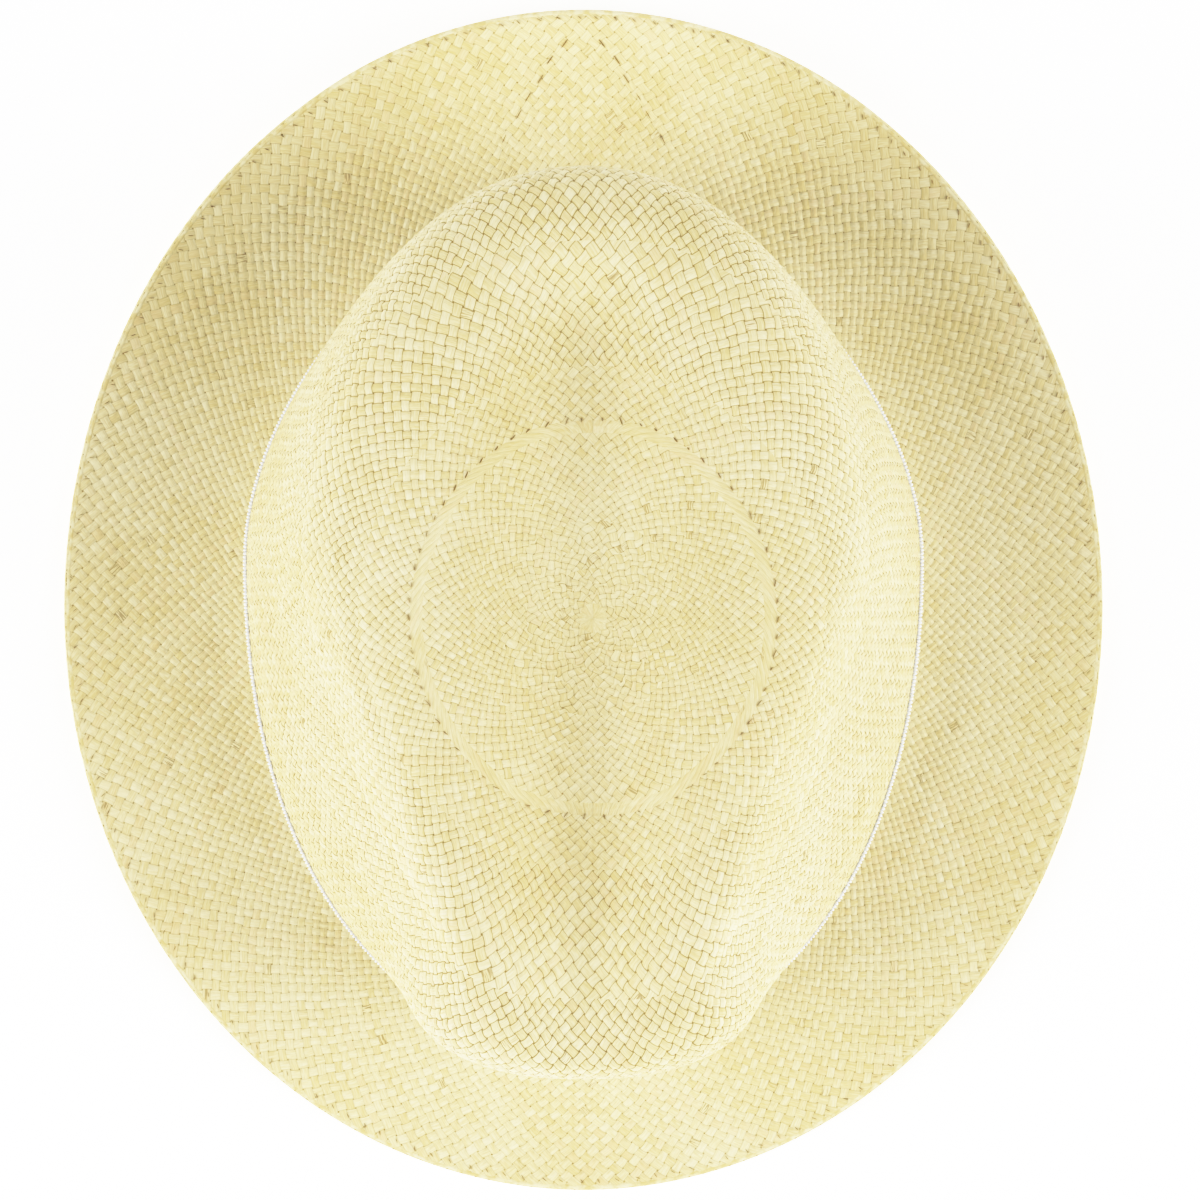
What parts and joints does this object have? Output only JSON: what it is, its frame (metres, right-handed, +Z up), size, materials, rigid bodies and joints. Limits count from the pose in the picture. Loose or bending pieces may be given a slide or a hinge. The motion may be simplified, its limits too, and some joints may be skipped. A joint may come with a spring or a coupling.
{
  "type": "straw fedora",
  "caption": "Woven straw fedora with a long centre dent, a pinched front, a brim turned up at the rear and a plain ribbed ribbon round the crown.",
  "frame": {"origin": "on the plane that the hat stands on, below the middle of its brim", "axes": "+Z up out of the crown, -Y towards the front of the hat, +Y towards its rear, +X towards the wearer's left"},
  "size_m": [0.2698, 0.3056, 0.111],
  "materials": {
    "straw": "woven natural straw, matt with a slight sheen on each strand",
    "ribbon": "ribbed woven ribbon, matt"
  },
  "bodies": {
    "root": {"straw_body": "straw", "hat_band": "ribbon"}
  },
  "joints": []
}
